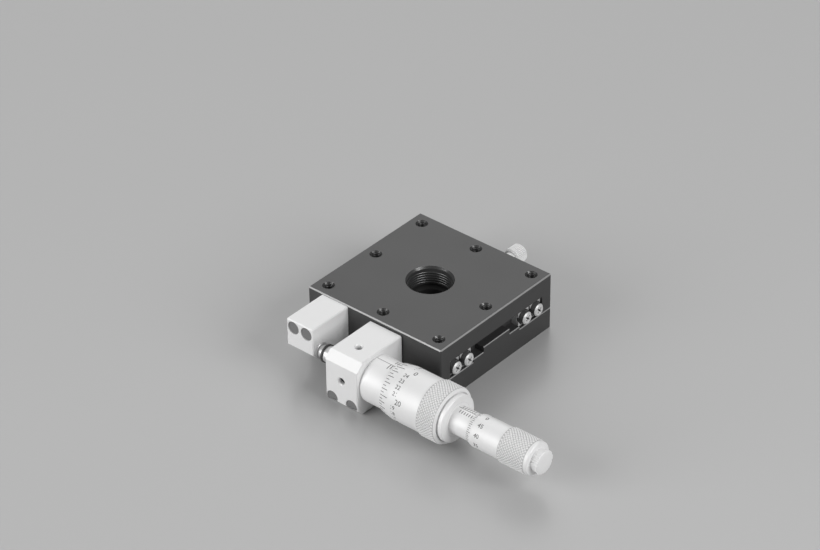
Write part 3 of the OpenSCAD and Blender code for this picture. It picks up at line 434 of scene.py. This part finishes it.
def knurled_band(starts, x0, x1, root, crest):
    clear_hands()
    cell = 2 * math.pi * root / starts
    rows = max(2, round((x1 - x0) / cell))
    bpy.ops.mesh.primitive_cylinder_add(vertices=starts, radius=root * MM, depth=(x1 - x0) * MM,
        end_fill_type="NOTHING", location=((x0 + x1) / 2 * MM, AXIS.y, AXIS.z), rotation=(0, math.pi / 2, 0))
    bpy.ops.object.transform_apply(location=True, rotation=True, scale=True)
    band = bpy.context.object
    bpy.ops.object.mode_set(mode="EDIT")
    pick_edges(lambda edge: not edge.is_boundary)
    bpy.ops.mesh.subdivide(number_cuts=rows - 1)
    bpy.ops.mesh.select_all(action="SELECT")
    bpy.ops.mesh.normals_make_consistent(inside=False)
    shape = bmesh.from_edit_mesh(band.data)
    corners = {v.index for v in shape.verts}
    bpy.ops.mesh.poke()
    shape = bmesh.from_edit_mesh(band.data)
    for kind in (shape.verts, shape.edges, shape.faces):
        for element in kind:
            element.select_set(False)
    for edge in shape.edges:
        if not edge.is_boundary and all(v.index in corners for v in edge.verts):
            edge.select_set(True)
    bmesh.update_edit_mesh(band.data)
    bpy.ops.mesh.dissolve_edges(use_verts=False)
    shape = bmesh.from_edit_mesh(band.data)
    for face in shape.faces:
        face.select_set(len(face.verts) == 4)
    bmesh.update_edit_mesh(band.data)
    bpy.ops.mesh.poke(offset=(crest - root) * MM)
    bpy.ops.object.mode_set(mode="OBJECT")
    wall = band.modifiers.new("wall", "SOLIDIFY")
    wall.thickness, wall.offset = KNURL_WALL * MM, -1
    bpy.ops.object.modifier_apply(modifier="wall")
    print("knurl", starts, "starts", rows, "rows", len(band.data.polygons), "faces")
    return band


def joined(*parts):
    clear_hands()
    for part in parts:
        part.select_set(True)
    bpy.context.view_layer.objects.active = parts[0]
    bpy.ops.object.join()
    return bpy.context.object


print("a knurl's wall is", KNURL_WALL, "mm thick")

# %% [markdown]
# The coarse thimble has a bevel with the scale, a plain part, and the knurl with a bright chamfered rim behind it.
# The body is turned down to the knurl's root, and the band's pyramids reach the full diameter of the CAD solid, so
# the hand would feel the same size. The teeth end sharp at the rim's chamfer, and a groove in the end face makes a
# dark line round the collar. It takes the place of the CAD node.

# %% Coarse thimble
COARSE_BORE, COARSE_SCREW, COARSE_R = 8.65, 5.52, 9.9
COARSE_BEVEL = [(9.2, 22.46), (9.88, 26.66)]
coarse_outline = [(COARSE_BORE, 22.4), (9.14, 22.4)] + COARSE_BEVEL + [
    (COARSE_R, 26.76), (COARSE_R, 39.3), (COARSE_ROOT, 39.5), (COARSE_ROOT, 46.9), (9.42, 47.29), (9.38, 47.3),
    (9.04, 47.3), (9, 47.26), (9, 46.7), (8.3, 46.7), (8.25, 47.3), (COARSE_SCREW, 47.3), (COARSE_SCREW, 44),
    (COARSE_BORE, 44)]
joined(turned(coarse_outline), knurled_band(starts=54, x0=39.45, x1=46.9, root=COARSE_ROOT, crest=COARSE_CREST))
coarse_thimble = settle("coarse_thimble_turned", "micrometer_satin", "coarse_thimble")
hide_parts("coarse_thimble")
print("coarse thimble", len(coarse_thimble.data.polygons), "faces")

# %% [markdown]
# The fine thimble is the same thing at a smaller size: bevel, plain part, a longer knurl and a smooth ring, with the
# round button behind it. Thirty-three grooves each way keep the diamonds of both knurls the same size, as one pair of
# wheels would.

# %% Fine thimble
FINE_BORE, FINE_SEAT, FINE_SHANK, FINE_R = 5.1, 2.52, 1.27, 5.925
FINE_BEVEL = [(5.4, 57.04), (5.91, 59.27)]
fine_outline = [(FINE_BORE, 57), (5.36, 57)] + FINE_BEVEL + [
    (FINE_R, 59.33), (FINE_R, 70.7), (FINE_ROOT, 70.9), (FINE_ROOT, 81.95), (6.15, 82), (6.15, 83), (5.88, 83.3),
    (FINE_SHANK, 83.3), (FINE_SHANK, 80.1), (FINE_SEAT, 80.1), (FINE_SEAT, 76.1), (FINE_BORE, 76.1)]
joined(turned(fine_outline, FINE_ROUND),
    knurled_band(starts=33, x0=70.85, x1=81.95, root=FINE_ROOT, crest=FINE_CREST))
fine_thimble = settle("fine_thimble_turned", "micrometer_satin", "fine_thimble")
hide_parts("fine_thimble")
print("fine thimble", len(fine_thimble.data.polygons), "faces")

# %% [markdown]
# The button at the end is pressed on, and its face is slightly domed. A lathe makes a dome with small steps that get
# closer to the edge, so the outline here follows a quarter of an ellipse.

# %% End button
BUTTON_R, DOME_H, DOME_X = 4.3, 0.7, 86.1
dome = [(BUTTON_R * math.cos(math.radians(a)), DOME_X + DOME_H * math.sin(math.radians(a)))
    for a in (0, 15, 30, 45, 60, 74, 84)]
button_outline = [(POINT, 80.3), (1.22, 80.3), (1.25, 80.35), (1.25, 83.3), (3.9, 83.3), (3.95, 83.32),
    (3.95, 83.42), (3.95, 85.4), (3.95, 85.5), (4.05, 85.7), (4.27, 85.9)] + dome + [(POINT, DOME_X + DOME_H)]
turned(button_outline, FINE_ROUND)
end_button = settle("end_button_domed", "micrometer_satin", "fine_thimble")
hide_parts("end_button")
print("end button", len(end_button.data.polygons), "faces")

# %% [markdown]
# The clamp's knob has a straight knurl. Its rings have two points for each tooth, and every second point is pulled in
# by the depth of the groove. Where a ring is plain, at the neck and at both ends, those points come out again.

# %% Clamp knob
TEETH, NECK_L, FIT = 32, 1.9, 0.02
screw_low, screw_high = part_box("clamp_screw")
KNOB_BORE = (screw_high.x - screw_low.x) / 2 / MM + FIT
KNOB_FOOT, KNOB_SEAT, KNOB_END = knob_low.y / MM + NECK_L, screw_high.y / MM + FIT, knob_high.y / MM


def pull_grooves(by, y):
    ring = bmesh.from_edit_mesh(bpy.context.object.data)
    held = [v for v in ring.verts if v.select]
    for v in held:
        turn = math.atan2(v.co.z - KNOB_AXIS.z, v.co.x - KNOB_AXIS.x)
        v.select_set(round(turn / (math.pi / TEETH)) % 2 == 1)
    bpy.ops.transform.resize(value=(by, 1, by), center_override=(KNOB_AXIS.x, y * MM, KNOB_AXIS.z))
    for v in held:
        v.select_set(True)
    ring.select_flush(True)
    bmesh.update_edit_mesh(bpy.context.object.data)


def fluted(outline):
    clear_hands()
    radius, y, _ = outline[0]
    bpy.ops.mesh.primitive_circle_add(vertices=2 * TEETH, radius=radius * MM,
        location=(KNOB_AXIS.x, y * MM, KNOB_AXIS.z), rotation=(math.pi / 2, 0, 0))
    bpy.ops.object.transform_apply(location=True, rotation=True, scale=True)
    bpy.ops.object.mode_set(mode="EDIT")
    bpy.ops.mesh.select_all(action="SELECT")
    for (r0, y0, root0), (r1, y1, root1) in zip(outline, outline[1:]):
        bpy.ops.mesh.extrude_region_move(TRANSFORM_OT_translate={"value": (0, (y1 - y0) * MM, 0)})
        bpy.ops.transform.resize(value=(r1 / r0, 1, r1 / r0), center_override=(KNOB_AXIS.x, y1 * MM, KNOB_AXIS.z))
        if root0 != root1:
            pull_grooves(root1 / root0, y1)
    pick_edges(lambda edge: edge.is_boundary)
    bpy.ops.mesh.edge_face_add()
    bpy.ops.mesh.select_all(action="SELECT")
    bpy.ops.mesh.normals_make_consistent(inside=False)
    bpy.ops.object.mode_set(mode="OBJECT")
    bpy.ops.object.shade_smooth_by_angle(angle=SMOOTH)
    return bpy.context.object


GROOVE = KNOB_ROOT / KNOB_CREST
knob_outline = [
    (POINT, KNOB_SEAT, 1), (KNOB_BORE, KNOB_SEAT, 1), (KNOB_BORE, KNOB_FOOT - NECK_L, 1),
    (2.35, KNOB_FOOT - NECK_L, 1), (2.4, KNOB_FOOT - NECK_L + 0.05, 1), (2.4, KNOB_FOOT, 1), (2.95, KNOB_FOOT, 1),
    (KNOB_CREST, KNOB_FOOT + 0.5, GROOVE), (KNOB_CREST, KNOB_END - 0.5, GROOVE), (2.95, KNOB_END, 1),
    (2.6, KNOB_END, 1), (2.4, KNOB_END - 0.1, 1), (POINT, KNOB_END - 0.1, 1)]
fluted(knob_outline)
clamp_knob = settle("clamp_knob_fluted", "micrometer_satin", "clamp_knob", "knob_satin")
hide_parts("clamp_knob")
print("clamp knob", len(clamp_knob.data.polygons), "faces")

# %% [markdown]
# Scales are engraved and filled with black. The easy way to lay one out is flat, as on a strip of paper: x along the
# axis, y round it. One tick is made, its copies are stretched and set out in rows, and the whole strip is then rolled
# round the barrel, each point going to its angle y / R and to the radius that the surface has there.

# %% Laying out a scale
finishes["scale_ink"] = grained("scale_ink", 0.015, 0.04, 0.0, 0.5, 2000, 0.004)
INK_T = 0.05
DIGIT_H = 0.69


def copied(source, change):
    copy = source.copy()
    copy.data = source.data.copy()
    copy.data.transform(change)
    bpy.context.scene.collection.objects.link(copy)
    return copy


def tick_master():
    clear_hands()
    bpy.ops.mesh.primitive_plane_add(size=1)
    bpy.ops.object.mode_set(mode="EDIT")
    bpy.ops.mesh.select_all(action="SELECT")
    bpy.ops.mesh.subdivide(number_cuts=3)
    bpy.ops.object.mode_set(mode="OBJECT")
    master = bpy.context.object
    body = master.modifiers.new("body", "SOLIDIFY")
    body.thickness, body.offset = INK_T, 0
    bpy.ops.object.modifier_apply(modifier="body")
    return master


master = tick_master()


def stamped(x, y, wide, high):
    return copied(master, Matrix.Translation((x, y, 0)) @ Matrix.Diagonal((wide, high, 1, 1)))


def numeral(text, x, y, high):
    clear_hands()
    bpy.ops.object.text_add()
    sign = bpy.context.object
    sign.data.body, sign.data.size = text, high / DIGIT_H
    sign.data.align_x, sign.data.align_y = "CENTER", "CENTER"
    sign.data.extrude, sign.data.resolution_u = INK_T / 2, 3
    bpy.ops.object.convert(target="MESH")
    sign = bpy.context.object
    sign.data.transform(Matrix.Translation((x, y, 0)))
    return sign


class Strip:
    """Marks laid out flat for a surface of this radius, with turns in degrees from the top towards the front."""

    def __init__(self, radius):
        self.radius, self.parts = radius, []

    def flat(self, turn):
        return -math.radians(turn) * self.radius

    def line(self, turn, x0, x1, wide):
        self.parts.append(stamped((x0 + x1) / 2, self.flat(turn), x1 - x0, wide))

    def tick(self, x, turn0, turn1, wide):
        middle, long = self.flat((turn0 + turn1) / 2), self.flat(turn0) - self.flat(turn1)
        self.parts.append(stamped(x, middle, wide, abs(long)))

    def number(self, text, x, turn, high):
        self.parts.append(numeral(text, x, self.flat(turn), high))

    def rolled(self, name, body, radius_at):
        strip = joined(*self.parts)
        for point in strip.data.vertices:
            x, y, lift = point.co
            turn, radius = -y / self.radius, radius_at(x) + lift
            point.co = (x * MM, AXIS.y - radius * math.sin(turn) * MM, AXIS.z + radius * math.cos(turn) * MM)
        strip.data.update()
        print(name, len(self.parts), "marks")
        return settle(name, "black_ring", body, "scale_ink")


print("tick", len(master.data.polygons), "faces")

# %% [markdown]
# The barrel carries the millimetres. A thin index line runs along it. Whole millimetres are ticks on the near side
# of the line and halves are ticks on the far side. They go on under the thimble, where travel uncovers them.

# %% Barrel scale
BARREL_R, BARREL_ZERO = 8.6, 20.1
barrel_scale = Strip(BARREL_R)
barrel_scale.line(-1.4, 13.9, 35.5, 0.17)
for mm in range(14):
    barrel_scale.tick(BARREL_ZERO + mm, 0, 15 if mm % 5 == 0 else 12, 0.26)
    barrel_scale.tick(BARREL_ZERO + mm + 0.5, -10, -22, 0.24)
for mark in (5, 10):
    barrel_scale.number(str(mark), BARREL_ZERO + mark, 22, 1.4)
barrel_scale.rolled("barrel_scale", "base", lambda x: BARREL_R)

# %% [markdown]
# Both thimbles have fifty divisions round the bevel, and the numbers rise away from the reader, because the thimble
# turns that way as the spindle goes out. The coarse one numbers every second division, from 0 to 24, with small
# figures close behind the bevel and larger ones for every fifth number. The fine one numbers every fifth division.

# %% Thimble scales
DIVISIONS, STEP = 50, 7.2
CLEAR = 0.01


def bevel_r(x, bevel):
    (r0, x0), (r1, x1) = bevel
    return r0 + (r1 - r0) * min(max((x - x0) / (x1 - x0), 0), 1) + CLEAR


def ring_of_ticks(strip, first, start, ends, wide):
    for k in range(DIVISIONS):
        reach = ends[0] if k % 10 == 0 else ends[1] if k % 2 == 0 else ends[2]
        strip.line(first - STEP * k, start, reach, wide)


coarse_dial = Strip(COARSE_R)
ring_of_ticks(coarse_dial, 0, 22.75, (26.2, 25.3, 24.1), 0.2)
for k in range(DIVISIONS // 2):
    x, high = (31, 1.9) if k % 5 == 0 else (28.9, 1.45)
    coarse_dial.number(str(k), x, -2 * STEP * k, high)
coarse_dial.rolled("coarse_dial", "coarse_thimble", lambda x: bevel_r(x, COARSE_BEVEL))

SLEEVE_R, SLEEVE_ZERO = 5.05, 51.3
fine_sleeve_scale = Strip(SLEEVE_R)
fine_sleeve_scale.line(-5.5, 49.6, 62, 0.18)
for mm in range(11):
    fine_sleeve_scale.tick(SLEEVE_ZERO + mm, 6, 20, 0.24)
    fine_sleeve_scale.tick(SLEEVE_ZERO + mm - 0.5, -9, -27, 0.2)
fine_sleeve_scale.rolled("fine_sleeve_scale", "coarse_thimble", lambda x: SLEEVE_R)

FINE_ZERO = -3
fine_dial = Strip(FINE_R)
ring_of_ticks(fine_dial, FINE_ZERO, 57.25, (59, 58.6, 58.3), 0.15)
for k in range(0, DIVISIONS, 5):
    fine_dial.number(str(k), 61.7, FINE_ZERO - STEP * k, 1.5)
fine_dial.rolled("fine_dial", "fine_thimble", lambda x: bevel_r(x, FINE_BEVEL))
bpy.data.objects.remove(master)

# %% [markdown]
# The centre aperture and the eight holes of the table are tapped. A tap leaves a helix, so one tooth is drawn in
# section and the Screw modifier sweeps it round and up. The tooth's root sits a little inside the hole's wall, and
# the ends are filled, so each thread is a closed body. The small thread is made once and copied to the eight holes.

# %% Tapped holes
SUNK = 0.06


def thread(radius, crest, pitch, z0, turns, steps):
    clear_hands()
    root = radius + SUNK
    bpy.ops.mesh.primitive_circle_add(vertices=3, radius=(root - crest) / 1.5 * MM, fill_type="NOTHING")
    bpy.ops.object.mode_set(mode="EDIT")
    bpy.ops.mesh.select_all(action="SELECT")
    section = bmesh.from_edit_mesh(bpy.context.object.data)
    tooth = [(crest, 0), (root, pitch * 0.46), (root, -pitch * 0.46)]
    for point, (r, z) in zip(section.verts, tooth):
        point.co = (r * MM, 0, z * MM)
    bmesh.update_edit_mesh(bpy.context.object.data)
    bpy.ops.object.mode_set(mode="OBJECT")
    made = bpy.context.object
    sweep = made.modifiers.new("sweep", "SCREW")
    sweep.axis, sweep.screw_offset, sweep.iterations = "Z", pitch * MM, turns
    sweep.steps = sweep.render_steps = steps
    bpy.ops.object.modifier_apply(modifier="sweep")
    made.data.transform(Matrix.Translation((0, 0, z0 * MM)))
    bpy.ops.object.mode_set(mode="EDIT")
    pick_edges(lambda edge: edge.is_boundary)
    bpy.ops.mesh.edge_face_add()
    bpy.ops.mesh.select_all(action="SELECT")
    bpy.ops.mesh.normals_make_consistent(inside=False)
    bpy.ops.object.mode_set(mode="OBJECT")
    return made


thread(radius=7.95, crest=7.45, pitch=1, z0=16.4, turns=5, steps=96)
settle("aperture_thread", "black_anodised", "table")

GRID = (-25, 0, 25)
tap = thread(radius=1.7, crest=1.42, pitch=0.7, z0=17.5, turns=7, steps=28)
taps = [copied(tap, Matrix.Translation((x * MM, y * MM, 0))) for y in GRID for x in GRID if x or y]
bpy.data.objects.remove(tap)
joined(*taps)
settle("tapped_threads", "black_anodised", "table")
print("threads", 1 + len(taps))

# %% [markdown]
# A spring is wire on a path, so its path is drawn as a curve and the curve is given a round section. The return
# spring hooks onto a post at each end, one on the base and one under the table. In the stage it stretches with the
# travel; here it is drawn at one length and belongs to neither body. The backlash spring sits between the fine sleeve
# and a brass washer, and keeps the fine thread loaded one way.

# %% Springs
def wire(points, thick):
    clear_hands()
    path = bpy.data.curves.new("path", "CURVE")
    path.dimensions, path.bevel_depth, path.bevel_resolution = "3D", thick / 2 * MM, 2
    path.use_fill_caps = True
    spline = path.splines.new("POLY")
    spline.points.add(len(points) - 1)
    for point, (x, y, z) in zip(spline.points, points):
        point.co = (x * MM, y * MM, z * MM, 1)
    made = bpy.data.objects.new("wire", path)
    bpy.context.scene.collection.objects.link(made)
    made.select_set(True)
    bpy.context.view_layer.objects.active = made
    bpy.ops.object.convert(target="MESH")
    bpy.ops.object.shade_smooth()
    return bpy.context.object


def coil(x0, x1, turns, radius, y, z, per_turn=20):
    count = turns * per_turn
    angles = [2 * math.pi * k / per_turn for k in range(count + 1)]
    return [(x0 + (x1 - x0) * k / count, y + radius * math.cos(a), z + radius * math.sin(a))
        for k, a in enumerate(angles)]


def eye(x, y, z, radius, start, end):
    return [(x + radius * math.cos(math.radians(a)), y + radius * math.sin(math.radians(a)), z)
        for a in range(start, end - 1, -12)]


SPRING_Y, SPRING_Z, SPRING_R = -8.4, 12.6, 1.3
TABLE_END, BASE_END = -12.6, 16.6
table_eye = eye(-15, SPRING_Y, SPRING_Z, SPRING_R, -30, -270)
base_eye = eye(19, SPRING_Y, SPRING_Z, SPRING_R, 90, -150)
wire(table_eye + coil(TABLE_END, BASE_END, 20, SPRING_R, SPRING_Y, SPRING_Z) + base_eye, 0.4)
return_spring = settle("return_spring_coil", "spring_steel", None)
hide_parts("return_spring")
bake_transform(return_spring)

LOOSE_FROM, LOOSE_TO, LOOSE_R = 69.6, 74.8, 3.65
wire(coil(LOOSE_FROM, LOOSE_TO, 5, LOOSE_R, AXIS.y / MM, AXIS.z / MM, 28), 0.5)
backlash_spring = settle("backlash_spring_coil", "spring_steel", None)
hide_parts("backlash_spring")
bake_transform(backlash_spring)
print("springs", len(return_spring.data.polygons), len(backlash_spring.data.polygons), "faces")

# %% [markdown]
# The stage stands on a pale, slightly glossy table top that goes on until it meets the pale room. Its grey is in its
# own colour, so no extra light is needed for it.

# %% Floor
FLOOR_SIZE = 12


def floor_paint():
    finish = Finish("floor_paint")
    cloud = finish.noise(finish.place(1, 1, 1), 3, 2)
    finish.set(
        Base_Color=finish.blend(cloud, grey(0.46), grey(0.49)),
        Roughness=0.24 + cloud * 0.04,
    )
    return finish.material


clear_hands()
bpy.ops.mesh.primitive_plane_add(size=FLOOR_SIZE)
floor = bpy.context.object
floor.name = "floor"
floor.data.materials.append(floor_paint())
clear_hands()
print("floor", FLOOR_SIZE, "m square")

# %% [markdown]
# Soft boxes light small metal best, because what a satin face shows is mostly a blurred picture of the lamp. The
# largest stands behind the stage, opposite the camera, where the black top mirrors it into the lens and goes from
# black to dark grey. One hangs overhead, one stands at the front left for the blocks' fronts, and one fills the
# right. A pale room fills the rest. What the lens sees of the room is set apart from what the room lights, so a low
# view has a pale background too.

# %% Lamps
def soft_box(name, place, look, size, power):
    bpy.ops.object.light_add(type="AREA", location=place)
    lamp = bpy.context.object
    lamp.name = name
    lamp.data.shape, lamp.data.size, lamp.data.energy = "SQUARE", size, power
    lamp.rotation_euler = (Vector(look) - Vector(place)).to_track_quat("-Z", "Y").to_euler()


soft_box("overhead", (-0.1, 0.1, 0.8), (0, 0, 0), 0.6, 0.3)
soft_box("backlight", (-0.6, 0.7, 0.66), (0, 0, 0.02), 0.9, 3.3)
soft_box("front_left", (-0.34, -0.78, 0.33), (0, 0, 0), 0.6, 5.0)
soft_box("right_fill", (0.74, 0.02, 0.46), (0, 0, 0), 0.5, 4.2)

ROOM_LIGHT, ROOM_SEEN = 0.26, 0.58
world = bpy.data.worlds.new("room")
world.use_nodes = True
room = world.node_tree.nodes["Background"]
room.inputs["Color"].default_value = grey(0.8)
seen = world.node_tree.nodes.new("ShaderNodeLightPath")
strength = world.node_tree.nodes.new("ShaderNodeMath")
strength.operation = "MULTIPLY_ADD"
strength.inputs[1].default_value, strength.inputs[2].default_value = ROOM_SEEN - ROOM_LIGHT, ROOM_LIGHT
world.node_tree.links.new(seen.outputs["Is Camera Ray"], strength.inputs[0])
world.node_tree.links.new(strength.outputs[0], room.inputs["Strength"])
bpy.context.scene.world = world
